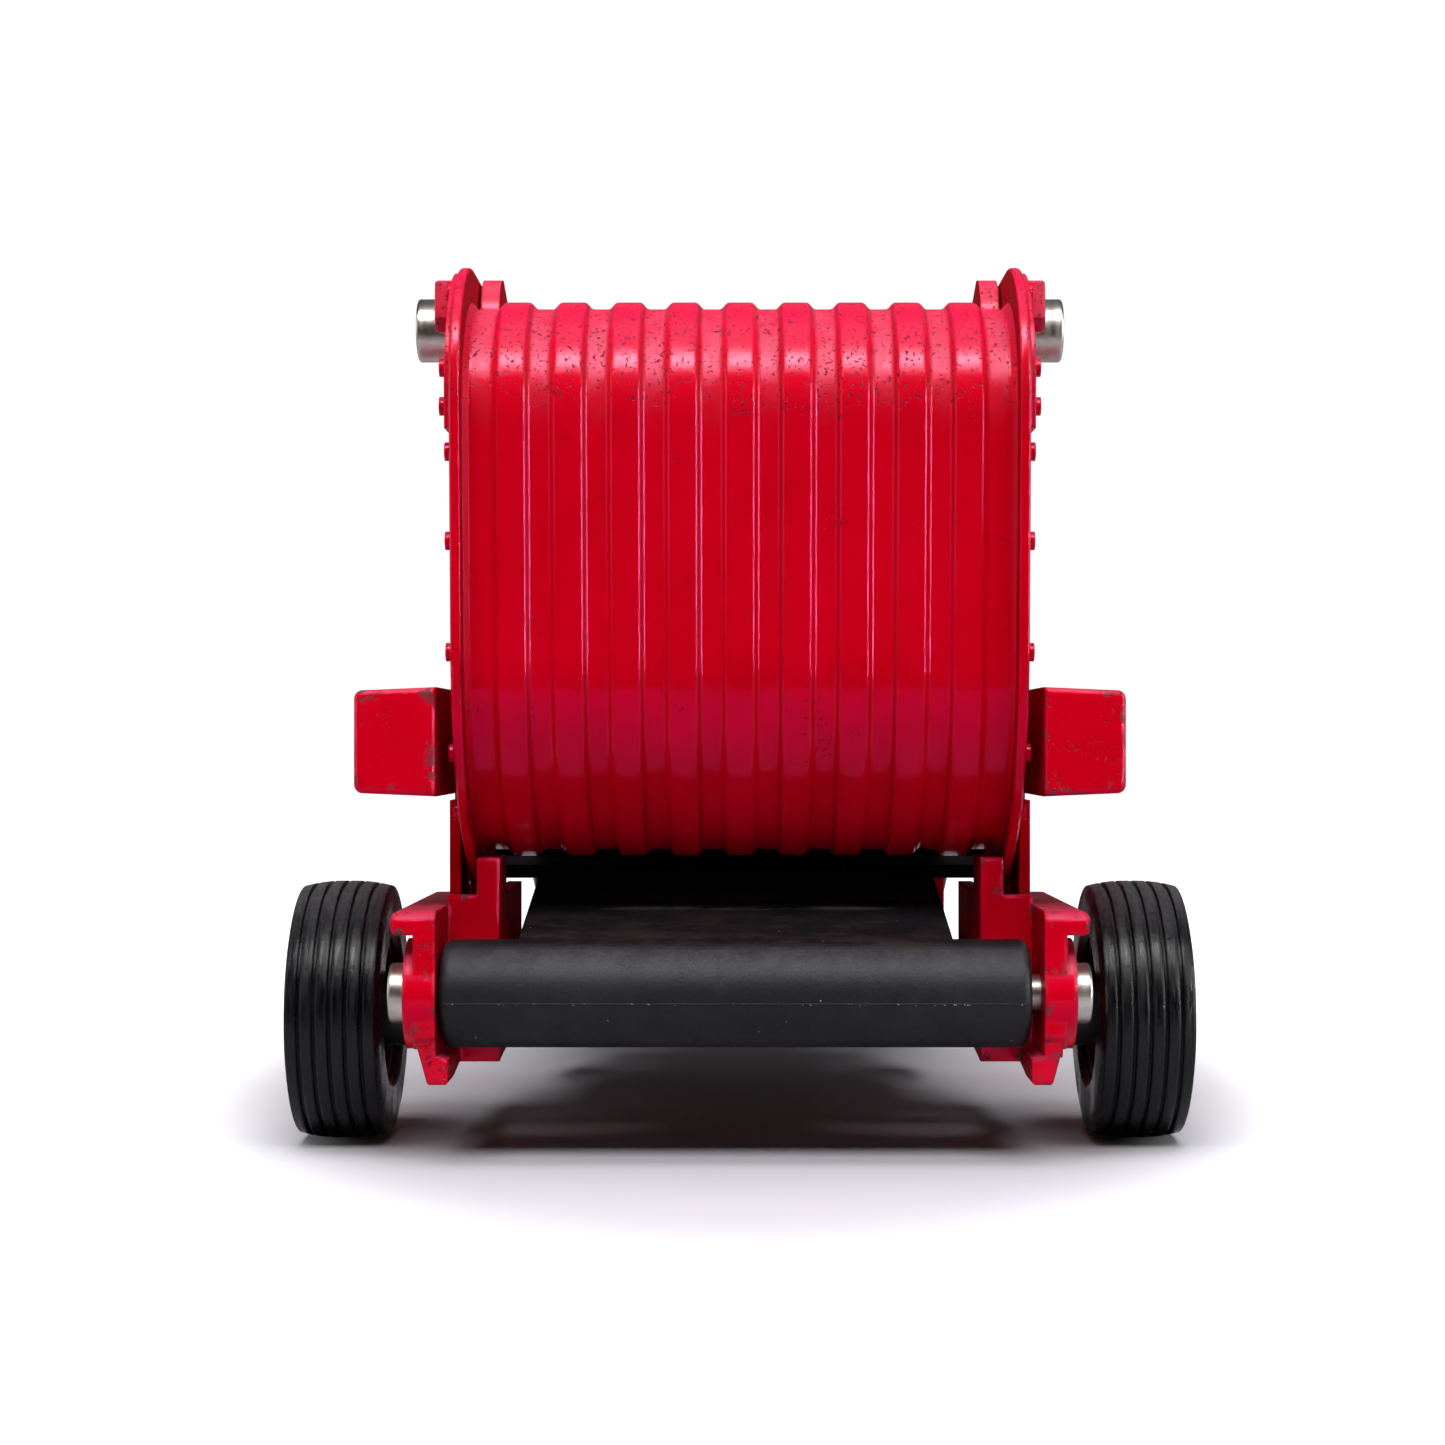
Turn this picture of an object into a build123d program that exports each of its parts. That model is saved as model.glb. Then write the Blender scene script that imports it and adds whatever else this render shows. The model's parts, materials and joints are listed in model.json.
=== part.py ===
"""Die-cast toy round baler, about 1:32, as separate pieces in one frame.

Frame: +Z up, the floor is Z = 0, +Y runs forward to the hitch and -Y faces the rear.
The origin is the bottom centre of the whole toy. All sizes are millimetres.
Side profiles are drawn on YZ planes, so a sketch point is (y, z).
"""
import os
from math import acos, atan2, cos, degrees, hypot, radians, sin, tan

from build123d import *

os.makedirs("parts", exist_ok=True)

# ---------------------------------------------------------------- driving dimensions
HINGE = (-46.8, 69.6)          # axis of the tailgate hinge
AXLE = (-46.4, 11.04)          # axis of the wheels
RAMP_AXIS = (-58.8, 13.6)      # axis of the ramp tube
REEL_AXIS = (-8.0, 12.0)       # axis of the pickup reel
STAND_AXIS = (40.0, 15.6)      # axis of the folding parking stand

# tailgate drum: an upper and a lower round joined by a straight leaning wall
CROWN = (-54.0, 61.05)
CROWN_R = 9.6
BELLY = (-43.84, 42.4)
BELLY_R = 18.4
RIB_COUNT = 9
RIB_PITCH = 4.59
RIB_BASE = 3.1
RIB_TOP = 2.1
RIB_HEIGHT = 0.56
RIB_ROUND = 0.45
SKIN = 1.1
SKIN_FRONT = HINGE[0] - 0.3

# tailgate side plates, which stand proud of the drum as a rim
PLATE_IN = 22.2
PLATE_OUT = 23.1
PLATE_ROUND = 0.26
EAR = (-53.9, 62.4)
EAR_R = 11.1
RIM_BELLY_R = 20.0
RIM_BELLY_END = 237.0
PLATE_CORNER = (-48.6, 21.8)
EYE_R = 3.9
ROOT_FILLET = 0.5
PAD = 0.4
PAD_BOTTOM = 59.0
PAD_INSET = 0.45
RIVET_R = 0.75
RIVET_PROUD = 0.5
RIVET_INSET = 1.9
RIVET_HEIGHTS = (64.0, 60.9, 57.3, 50.2, 41.3, 33.2, 28.4)
LATCH_OUT = 25.5

# front casting
WALL_IN = 23.5
WALL_OUT = 24.4
ROOF_TOP = 69.6
ROOF = 1.4
ROOF_REAR = -45.3
FRONT_Y = -14.0
NOSE_R = 11.6
EAR_NOTCH = -41.8              # the roof is cut back to here beside the lugs
LUG_IN = 20.4
LUG_OUT = 22.0
LUG_R = 4.3
SKIRT_REAR = -52.6
SKIRT_Z = 14.2
SKIRT_STEP = 17.6
SKIRT_TOP = 29.2
FLOOR_Z = 21.7
FLOOR = 1.2
FLOOR_REAR = -34.8
SILL_Z = 23.7
THROAT_TOP = 29.4
STOP_IN = 21.4                 # blocks the tailgate closes against
STOP_Y = (-45.6, -43.8)
STOP_Z = (15.0, 27.5)
SIDE_RIB = 0.5                 # how far the border ribs stand off the wall
ROLLER_R = 2.9
JOURNAL_R = 1.0
ROLLERS = {"roller_lower": (-31.5, 27.2), "roller_front": (-20.2, 31.5), "roller_upper": (-22.0, 59.8)}
ARM_RIVETS = ((-41.0, 16.0), (-36.0, 16.0), (-31.0, 16.0))
ARM_RIVET_R = 0.5

# arms beside the ramp
ARM_REAR = -62.9
ARM_OUT = 26.2
LIP_OUT = 28.0
LIP_TOP = 20.5
LIP_BOTTOM = 18.6
BOSS_OUT = 27.0
BOSS_R = 4.5
TOE_Z = 6.6
TOE_FRONT = -59.8
RAIL_IN = 20.1
RAIL = 1.2
RAIL_FRONT = -32.6
WEB_REAR = -54.0
WEB_FOOT = 7.4
WEB_TOP = 21.3
HORN_TOP = 24.4
HORN_OUT = 22.0

# ramp
TUBE_R = 4.4
TUBE_HALF = 23.8
TUBE_ROUND = 0.8
RAMP_SHIFT = -0.35
RAMP_HALF = 17.7
RAMP_RISE = 11.0
RAMP_LENGTH = 24.0
RAMP_THICK = 1.4
STOP_REAR = -38.2

# pins and running fits
HINGE_PIN_R = 1.5
HINGE_HEAD_R = 2.7
HINGE_HEAD_IN = 23.65
HINGE_HEAD_OUT = 27.7
RAMP_PIN_R = 1.55
RAMP_HEAD_R = 2.46
RAMP_HEAD_OUT = 28.5
AXLE_R = 1.2
FIT = 0.06

# side boxes
BOX_REAR = -62.4
BOX_FRONT = -30.0
BOX_OUT = 31.0
BOX_Z = 34.1
BOX_HALF_IN = 4.4
BOX_HALF_OUT = 4.12
BOX_ROUND = 0.7

# wheels
TYRE_R = 11.04
TYRE_IN = 29.9
TYRE_OUT = 37.8
SHOULDER_R = 10.0
TREAD_RIBS = 6
TREAD_RIB = 0.92
TREAD_GROOVE = 0.38
TREAD_DEPTH = 0.34
RIM_R = 6.3
HUB_R = 3.2
HUB_IN = 27.0
HUB_OUT = 37.3
BARREL_R = 5.7
WEB_INNER = 33.6
WEB_OUTER = 35.2
CAP_R = 2.1
CAP_IN = 37.45
CAP_OUT = 38.2
AXLE_HALF = 37.8

# front gear
PICKUP_HALF = 20.3
PICKUP_SIDE = 1.2
HOOD = 0.9
HOOD_HALF = 22.3
HOOD_REAR = (-13.9, 29.3)
HOOD_FRONT = (20.0, 14.6)
HOOD_LIP = 2.2
HOOD_STEP = -1.0               # the hood is full width in front of here
BAR_HALF = 2.4
STAND_PIN_R = 0.8
PTO_Z = 42.8
PTO_R = 1.4
EYE_Y = 61.2
HITCH_R = 3.8
HITCH_BORE = 1.75
HITCH_Z = 13.5
HITCH_THICK = 2.6


# ---------------------------------------------------------------- shared geometry
def on_circle(centre, radius, angle):
    """Point of a circle at an angle in degrees."""
    return (centre[0] + radius * cos(radians(angle)), centre[1] + radius * sin(radians(angle)))


def rear_tangent(upper, r_upper, lower, r_lower):
    """Angle of the outward normal of the straight run that touches both circles at their rear."""
    rise = (upper[0] - lower[0], upper[1] - lower[1])
    return degrees(atan2(rise[1], rise[0]) + acos((r_lower - r_upper) / hypot(*rise)))


def radial_plane(centre, angle):
    """Plane through an X-wise axis: its x is +X and its y is the outward radius at the angle."""
    normal = (0, -sin(radians(angle)), cos(radians(angle)))
    return Plane(origin=(0, *centre), x_dir=(1, 0, 0), z_dir=normal)


def disc(centre, radius, x_from, x_to, mode=Mode.ADD):
    """Cylinder along X inside the current part."""
    with BuildSketch(Plane.YZ.offset(x_from), mode=Mode.PRIVATE) as face:
        with Locations(centre):
            Circle(radius)
    extrude(face.sketch, amount=x_to - x_from, mode=mode)


def slab(points, x_from, x_to, mode=Mode.ADD):
    """Plate along X with a straight-sided side profile, inside the current part."""
    with BuildSketch(Plane.YZ.offset(x_from), mode=Mode.PRIVATE) as face:
        with BuildLine():
            Polyline(*points, close=True)
        make_face()
    extrude(face.sketch, amount=x_to - x_from, mode=mode)


def save(part, label):
    """Label a finished piece and write it."""
    part.label = label
    export_step(part, f"parts/{label}.step")


def mirrored(part):
    """The same piece for the left side."""
    with BuildPart() as twin:
        mirror(part, about=Plane.YZ)
    return twin.part


# ---------------------------------------------------------------- tailgate
WALL_ANGLE = rear_tangent(CROWN, CROWN_R, BELLY, BELLY_R)
CENTRE_GAP = hypot(CROWN[0] - BELLY[0], CROWN[1] - BELLY[1])
WALL_RUN = (CENTRE_GAP ** 2 - (BELLY_R - CROWN_R) ** 2) ** 0.5
BELLY_END = 180 + degrees(acos((BELLY[0] - SKIN_FRONT) / BELLY_R))
RIM_ANGLE = rear_tangent(EAR, EAR_R, BELLY, RIM_BELLY_R)


def skin_section(centre, radius, angle):
    """Cross-section of the ribbed skin, standing at an angle on a round of the drum."""
    ground = radius - RIB_HEIGHT
    outline = [(-PLATE_IN - 0.2, ground - SKIN), (-PLATE_IN - 0.2, ground + ROOT_FILLET)]
    outline += [(-PLATE_IN, ground + ROOT_FILLET), (-PLATE_IN + ROOT_FILLET, ground)]
    for index in range(RIB_COUNT):
        middle = (index - (RIB_COUNT - 1) / 2) * RIB_PITCH
        outline += [(middle - RIB_BASE / 2, ground), (middle - RIB_TOP / 2, radius)]
        outline += [(middle + RIB_TOP / 2, radius), (middle + RIB_BASE / 2, ground)]
    outline += [(PLATE_IN - ROOT_FILLET, ground), (PLATE_IN, ground + ROOT_FILLET)]
    outline += [(PLATE_IN + 0.2, ground + ROOT_FILLET), (PLATE_IN + 0.2, ground - SKIN)]
    with BuildSketch(radial_plane(centre, angle)) as section:
        with BuildLine():
            Polyline(*outline, close=True)
        make_face()
        last_rib = (RIB_COUNT - 1) / 2 * RIB_PITCH + RIB_BASE
        soft = section.vertices().filter_by(lambda v: abs(v.X) < last_rib)
        fillet(soft, RIB_ROUND)
    return section.sketch


def plate_outline(x):
    """Side outline of the tailgate plate, on a YZ plane at x."""
    with BuildSketch(Plane.YZ.offset(x)) as face:
        with BuildLine():
            CenterArc(EAR, EAR_R, 90, RIM_ANGLE - 90)
            Line(on_circle(EAR, EAR_R, RIM_ANGLE), on_circle(BELLY, RIM_BELLY_R, RIM_ANGLE))
            CenterArc(BELLY, RIM_BELLY_R, RIM_ANGLE, RIM_BELLY_END - RIM_ANGLE)
            Line(on_circle(BELLY, RIM_BELLY_R, RIM_BELLY_END), PLATE_CORNER)
            Line(PLATE_CORNER, (HINGE[0], PLATE_CORNER[1]))
            Line((HINGE[0], PLATE_CORNER[1]), (HINGE[0], HINGE[1] - EYE_R))
            CenterArc(HINGE, EYE_R, -90, 180)
            Line((HINGE[0], HINGE[1] + EYE_R), (EAR[0], EAR[1] + EAR_R))
        make_face()
    return face.sketch


def rim_point(height):
    """Rear edge of the side plate at a height."""
    if height < BELLY[1]:
        return BELLY[0] - (RIM_BELLY_R ** 2 - (BELLY[1] - height) ** 2) ** 0.5
    if height > EAR[1]:
        return EAR[0] - (EAR_R ** 2 - (height - EAR[1]) ** 2) ** 0.5
    return EAR[0] - EAR_R + (EAR[1] - height) * tan(radians(RIM_ANGLE - 180))


with BuildPart() as tailgate:
    extrude(plate_outline(PLATE_IN), amount=PLATE_OUT - PLATE_IN)
    plate_faces = tailgate.faces().sort_by(Axis.X)
    fillet(plate_faces[-1].edges() + plate_faces[0].edges(), PLATE_ROUND)
    # raised pad on the outside of the ear
    with BuildSketch(Plane.YZ.offset(PLATE_OUT - 0.1)) as pad:
        with BuildLine():
            inner = EAR_R - PAD_INSET
            eye = EYE_R - PAD_INSET
            CenterArc(EAR, inner, 90, 90)
            Polyline(
                (EAR[0] - inner, EAR[1]),
                (EAR[0] - inner + 0.2, PAD_BOTTOM),
                (HINGE[0], PAD_BOTTOM),
                (HINGE[0], HINGE[1] - eye),
            )
            CenterArc(HINGE, eye, -90, 180)
            Line((HINGE[0], HINGE[1] + eye), (EAR[0], EAR[1] + inner))
        make_face()
    extrude(amount=PAD + 0.1)
    for height in RIVET_HEIGHTS:
        spot = (rim_point(height) + RIVET_INSET, height)
        seat = PLATE_OUT + (PAD if height > PAD_BOTTOM else 0)
        disc(spot, RIVET_R, seat - 0.2, seat + RIVET_PROUD)
    disc((-57.4, 71.0), 0.7, PLATE_OUT, PLATE_OUT + PAD + RIVET_PROUD)
    # latch block on the ear
    with BuildPart(mode=Mode.PRIVATE) as latch:
        slab(
            [(-54.6, 69.4), (-53.6, 68.4), (-51.4, 68.6), (-50.7, 69.6), (-50.7, 72.6), (-54.2, 72.6)],
            PLATE_OUT,
            LATCH_OUT,
        )
        fillet(latch.faces().sort_by(Axis.X)[-1].edges(), 0.35)
    add(latch.part)
    mirror(about=Plane.YZ)
    extrude(skin_section(CROWN, CROWN_R, 90), amount=-(SKIN_FRONT - CROWN[0]))
    revolve(
        skin_section(CROWN, CROWN_R, 90),
        axis=Axis((0, *CROWN), (1, 0, 0)),
        revolution_arc=WALL_ANGLE - 90,
    )
    extrude(skin_section(CROWN, CROWN_R, WALL_ANGLE), amount=WALL_RUN)
    revolve(
        skin_section(BELLY, BELLY_R, WALL_ANGLE),
        axis=Axis((0, *BELLY), (1, 0, 0)),
        revolution_arc=BELLY_END - WALL_ANGLE,
    )
    # room for the hinge lugs of the front casting
    for x_from, x_to in ((LUG_IN - 0.3, PLATE_IN), (-PLATE_IN, -LUG_IN + 0.3)):
        disc(HINGE, LUG_R + 0.3, x_from, x_to, mode=Mode.SUBTRACT)
    disc(HINGE, HINGE_PIN_R + FIT, -30, 30, mode=Mode.SUBTRACT)
save(tailgate.part, "tailgate")


# ---------------------------------------------------------------- front casting
with BuildPart() as front_casting:
    # side wall with its lower skirt
    with BuildSketch(Plane.YZ.offset(WALL_IN)) as wall:
        with BuildLine():
            Polyline(
                (FRONT_Y, ROOF_TOP - NOSE_R),
                (FRONT_Y, FLOOR_Z),
                (-25.5, FLOOR_Z),
                (-28.0, SKIRT_Z),
                (-44.0, SKIRT_Z),
                (-44.0, SKIRT_STEP),
                (SKIRT_REAR, SKIRT_STEP),
                (SKIRT_REAR, SKIRT_TOP),
                (-48.8, SKIRT_TOP),
                (-48.8, 57.0),
                (EAR_NOTCH, 64.0),
                (EAR_NOTCH, ROOF_TOP),
                (FRONT_Y - NOSE_R, ROOF_TOP),
            )
            CenterArc((FRONT_Y - NOSE_R, ROOF_TOP - NOSE_R), NOSE_R, 90, -90)
        make_face()
    extrude(amount=WALL_OUT - WALL_IN)
    # raised border ribs on the outside of the wall
    for y_mid in (-39.0, -29.0, -19.0):
        slab(
            [(y_mid - 0.6, 41.0), (y_mid + 0.6, 41.0), (y_mid + 0.6, 58.0), (y_mid - 0.6, 58.0)],
            WALL_OUT - 0.1,
            WALL_OUT + SIDE_RIB,
        )
    slab([(-47.0, 39.6), (-16.0, 39.6), (-16.0, 41.0), (-47.0, 41.0)], WALL_OUT - 0.1, WALL_OUT + SIDE_RIB)
    # stop block for the closed tailgate, on the inside of the skirt
    slab(
        [(STOP_Y[0], STOP_Z[0]), (STOP_Y[1], STOP_Z[0]), (STOP_Y[1], STOP_Z[1]), (STOP_Y[0], STOP_Z[1])],
        STOP_IN,
        WALL_IN + 0.1,
    )
    # hinge lug, inside the tailgate ear
    with BuildSketch(Plane.YZ.offset(LUG_IN)) as lug:
        with BuildLine():
            CenterArc(HINGE, LUG_R, 90, 180)
            Polyline(
                (HINGE[0], HINGE[1] - LUG_R),
                (-41.0, HINGE[1] - LUG_R),
                (-38.0, ROOF_TOP - ROOF),
                (-34.0, ROOF_TOP),
                (HINGE[0], HINGE[1] + LUG_R),
            )
        make_face()
    extrude(amount=LUG_OUT - LUG_IN)
    mirror(about=Plane.YZ)
    # roof, nose and front wall in one sheet between the walls
    with BuildSketch(Plane.YZ.offset(-WALL_IN)) as sheet:
        with BuildLine():
            Line((ROOF_REAR, ROOF_TOP), (FRONT_Y - NOSE_R, ROOF_TOP))
            CenterArc((FRONT_Y - NOSE_R, ROOF_TOP - NOSE_R), NOSE_R, 90, -90)
            Polyline(
                (FRONT_Y, ROOF_TOP - NOSE_R),
                (FRONT_Y, THROAT_TOP),
                (FRONT_Y - ROOF, THROAT_TOP),
                (FRONT_Y - ROOF, ROOF_TOP - NOSE_R),
            )
            CenterArc((FRONT_Y - NOSE_R, ROOF_TOP - NOSE_R), NOSE_R - ROOF, 0, 90)
            Polyline(
                (FRONT_Y - NOSE_R, ROOF_TOP - ROOF),
                (ROOF_REAR, ROOF_TOP - ROOF),
                (ROOF_REAR, ROOF_TOP),
            )
        make_face()
    extrude(amount=2 * WALL_IN)
    for side in (-1, 1):
        with Locations((side * (LUG_OUT + WALL_OUT + 0.1) / 2, (ROOF_REAR + EAR_NOTCH) / 2 - 0.05, ROOF_TOP)):
            Box(WALL_OUT - LUG_OUT + 0.1, EAR_NOTCH - ROOF_REAR + 0.1, 4, mode=Mode.SUBTRACT)
    # roof ribs
    for index in range(RIB_COUNT):
        middle = (index - (RIB_COUNT - 1) / 2) * RIB_PITCH
        if abs(middle) < LUG_IN - RIB_PITCH:
            with Locations((middle, (ROOF_REAR + FRONT_Y - NOSE_R) / 2, ROOF_TOP + 0.1)):
                Box(RIB_TOP, FRONT_Y - NOSE_R - ROOF_REAR, 0.6)
    # bearings of the press rollers, hinge pins and arm rivets
    for centre in ROLLERS.values():
        disc(centre, JOURNAL_R + FIT, -30, 30, mode=Mode.SUBTRACT)
    disc(HINGE, HINGE_PIN_R, -LUG_OUT - 0.1, LUG_OUT + 0.1, mode=Mode.SUBTRACT)
    for centre in ARM_RIVETS:
        disc(centre, ARM_RIVET_R, -30, 30, mode=Mode.SUBTRACT)
save(front_casting.part, "front_casting")

# floor of the bale chamber, turned up at its front edge
with BuildPart() as chamber_floor:
    slab(
        [
            (FLOOR_REAR, FLOOR_Z),
            (FRONT_Y, FLOOR_Z),
            (FRONT_Y, SILL_Z),
            (FRONT_Y - ROOF, SILL_Z),
            (FRONT_Y - ROOF, FLOOR_Z + FLOOR),
            (FLOOR_REAR, FLOOR_Z + FLOOR),
        ],
        -WALL_IN,
        WALL_IN,
    )
save(chamber_floor.part, "chamber_floor")


# ---------------------------------------------------------------- arms and cross member
def make_toe():
    """Toe under the boss: it tapers inward and downward, and its foot rises towards the web."""
    with BuildPart() as toe:
        with BuildSketch(Plane.XZ.offset(-ARM_REAR - 0.3)):
            with BuildLine():
                Polyline(
                    (ARM_OUT, 10.8),
                    (ARM_OUT - 1.15, TOE_Z),
                    (WALL_OUT - 1.0, TOE_Z),
                    (WALL_OUT - 1.0, 8.6),
                    (WALL_OUT, 8.9),
                    (WALL_OUT, 10.8),
                    close=True,
                )
            make_face()
        extrude(amount=ARM_REAR + 0.3 - WEB_REAR)
        slab(
            [
                (ARM_REAR, TOE_Z),
                (TOE_FRONT, TOE_Z),
                (WEB_REAR, WEB_FOOT),
                (WEB_REAR, 12.0),
                (ARM_REAR, 12.0),
            ],
            WALL_IN - 2,
            ARM_OUT,
            mode=Mode.INTERSECT,
        )
        fillet(toe.edges().filter_by(Axis.Y).sort_by(Axis.Z)[:2], 0.3)
    return toe.part


def make_arm(side):
    """Arm of the right side, as seen from the rear; the left one has no marker rivet."""
    with BuildPart() as arm:
        with BuildSketch(Plane.YZ.offset(WALL_OUT)):
            with BuildLine():
                Polyline(
                    (ARM_REAR, 10.4),
                    (ARM_REAR, LIP_TOP - 0.6),
                    (ARM_REAR + 0.6, LIP_TOP),
                    (-28.0, LIP_TOP),
                    (-28.0, 11.6),
                    (-40.0, 8.4),
                    (-55.0, WEB_FOOT),
                    (-59.0, 9.4),
                    (-62.0, 9.4),
                    close=True,
                )
            make_face()
        extrude(amount=ARM_OUT - WALL_OUT)
        disc(RAMP_AXIS, BOSS_R, WALL_OUT, BOSS_OUT)
        # outward lip along the top
        slab(
            [
                (ARM_REAR, LIP_BOTTOM),
                (-35.5, LIP_BOTTOM),
                (-35.5, LIP_TOP),
                (ARM_REAR + 0.6, LIP_TOP),
                (ARM_REAR, LIP_TOP - 0.6),
            ],
            ARM_OUT - 0.1,
            LIP_OUT,
        )
        fillet(arm.edges().filter_by(Axis.Y).group_by(Axis.X)[-1], 0.6)
        add(make_toe())
        # web across the front of the tube, its horn, and the inner rail that runs forward from it
        slab(
            [
                (WEB_REAR, WEB_FOOT),
                (WEB_REAR + RAIL, WEB_FOOT),
                (WEB_REAR + RAIL, WEB_TOP),
                (WEB_REAR, WEB_TOP),
            ],
            RAIL_IN,
            WALL_OUT + 0.1,
        )
        slab(
            [
                (WEB_REAR, WEB_TOP - 0.1),
                (-47.6, WEB_TOP - 0.1),
                (-47.6, HORN_TOP),
                (WEB_REAR, HORN_TOP),
            ],
            RAIL_IN,
            HORN_OUT,
        )
        slab(
            [
                (WEB_REAR, WEB_FOOT),
                (-40.0, 8.4),
                (RAIL_FRONT, 10.4),
                (RAIL_FRONT, WEB_TOP),
                (WEB_REAR, WEB_TOP),
            ],
            RAIL_IN,
            RAIL_IN + RAIL,
        )
        if side > 0:
            disc((-61.0, 9.2), 0.6, ARM_OUT - 1.0, ARM_OUT - 0.2)
        # room for the ramp tube, then the bores
        disc(RAMP_AXIS, TUBE_R + 0.35, RAIL_IN - 1, WALL_OUT, mode=Mode.SUBTRACT)
        disc(RAMP_AXIS, RAMP_PIN_R, WALL_OUT, LIP_OUT, mode=Mode.SUBTRACT)
        disc(AXLE, AXLE_R, RAIL_IN - 1, LIP_OUT, mode=Mode.SUBTRACT)
        for centre in ARM_RIVETS:
            disc(centre, ARM_RIVET_R, WALL_OUT, LIP_OUT, mode=Mode.SUBTRACT)
    return arm.part


save(make_arm(1), "arm_right")
save(mirrored(make_arm(-1)), "arm_left")

RISE = radians(RAMP_RISE)


def ramp_top(y):
    """Height of the ramp plate's upper face at y."""
    start = on_circle(RAMP_AXIS, TUBE_R, 90 + RAMP_RISE)
    return start[1] + (y - start[0]) * tan(RISE)


with BuildPart() as cross_member:
    slab([(-38.0, 12.4), (-33.4, 12.4), (-33.4, 15.8), (-38.0, 15.8)], -RAIL_IN, RAIL_IN)
    stop_top = ramp_top(STOP_REAR) - RAMP_THICK / cos(RISE) - 0.3
    slab([(STOP_REAR, 15.0), (-35.4, 15.0), (STOP_REAR + 1.4, stop_top), (STOP_REAR, stop_top)], -13.5, 13.5)
save(cross_member.part, "cross_member")


# ---------------------------------------------------------------- ramp and its pin
with BuildPart() as ramp:
    disc(RAMP_AXIS, TUBE_R, RAMP_SHIFT - TUBE_HALF, RAMP_SHIFT + TUBE_HALF)
    fillet(ramp.edges().filter_by(GeomType.CIRCLE), TUBE_ROUND)
    top_start = on_circle(RAMP_AXIS, TUBE_R, 90 + RAMP_RISE)
    low_start = on_circle(RAMP_AXIS, TUBE_R - RAMP_THICK, 90 + RAMP_RISE)
    along = (cos(RISE) * RAMP_LENGTH, sin(RISE) * RAMP_LENGTH)
    slab(
        [
            top_start,
            low_start,
            (low_start[0] + along[0], low_start[1] + along[1]),
            (top_start[0] + along[0], top_start[1] + along[1]),
        ],
        RAMP_SHIFT - RAMP_HALF,
        RAMP_SHIFT + RAMP_HALF,
    )
    # gussets under the plate where it leaves the tube
    gusset_rear = RAMP_AXIS[0] + 3.4
    gusset_front = -47.5
    for middle in (-15.0, -5.0, 5.0, 15.0):
        slab(
            [
                (gusset_rear, 14.0),
                (gusset_rear, 16.6),
                (gusset_front, ramp_top(gusset_front) - 1.0),
                (gusset_front, ramp_top(gusset_front) - 1.8),
            ],
            middle - 0.5,
            middle + 0.5,
        )
    disc(RAMP_AXIS, RAMP_PIN_R + FIT, -30, 30, mode=Mode.SUBTRACT)
save(ramp.part, "ramp")

with BuildPart() as ramp_pin:
    disc(RAMP_AXIS, RAMP_PIN_R, -BOSS_OUT, RAMP_HEAD_OUT)
    disc(RAMP_AXIS, RAMP_HEAD_R, -RAMP_HEAD_OUT, -BOSS_OUT)
    fillet(ramp_pin.faces().sort_by(Axis.X)[0].edges(), 0.25)
save(ramp_pin.part, "ramp_pin")

with BuildPart() as ramp_pin_collar:
    disc(RAMP_AXIS, RAMP_HEAD_R, BOSS_OUT, RAMP_HEAD_OUT)
    fillet(ramp_pin_collar.faces().sort_by(Axis.X)[-1].edges(), 0.25)
    disc(RAMP_AXIS, RAMP_PIN_R, BOSS_OUT, RAMP_HEAD_OUT, mode=Mode.SUBTRACT)
save(ramp_pin_collar.part, "ramp_pin_collar")

with BuildPart() as hinge_pin:
    disc(HINGE, HINGE_PIN_R, LUG_IN, HINGE_HEAD_IN)
    disc(HINGE, HINGE_HEAD_R, HINGE_HEAD_IN, HINGE_HEAD_OUT)
    fillet(hinge_pin.faces().sort_by(Axis.X)[-1].edges(), 0.25)
save(hinge_pin.part, "hinge_pin_right")
save(mirrored(hinge_pin.part), "hinge_pin_left")

with BuildPart() as arm_rivets:
    for centre in ARM_RIVETS:
        disc(centre, ARM_RIVET_R, WALL_IN, ARM_OUT)
        disc(centre, 0.95, ARM_OUT, ARM_OUT + 0.5)
    mirror(about=Plane.YZ)
save(arm_rivets.part, "arm_rivets")


# ---------------------------------------------------------------- side boxes
with BuildPart() as side_box:
    with BuildSketch(Plane.XZ.offset(-BOX_REAR)):
        with BuildLine():
            Polyline(
                (WALL_OUT, BOX_Z - BOX_HALF_IN),
                (BOX_OUT, BOX_Z - BOX_HALF_OUT),
                (BOX_OUT, BOX_Z + BOX_HALF_OUT),
                (WALL_OUT, BOX_Z + BOX_HALF_IN),
                close=True,
            )
        make_face()
    extrude(amount=BOX_REAR - BOX_FRONT)
    outer = side_box.edges().filter_by(Axis.Y).group_by(Axis.X)[-1]
    fillet(outer, BOX_ROUND)
    fillet(side_box.faces().sort_by(Axis.Y)[0].edges(), 0.4)
save(side_box.part, "side_box_right")
save(mirrored(side_box.part), "side_box_left")


# ---------------------------------------------------------------- wheels
def tread_radius(x):
    """Crowned radius of the tread across its width."""
    half = (TYRE_OUT - TYRE_IN) / 2
    return TYRE_R - 0.7 * (max(abs(x - TYRE_IN - half) - 0.65, 0) / half) ** 2


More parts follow.
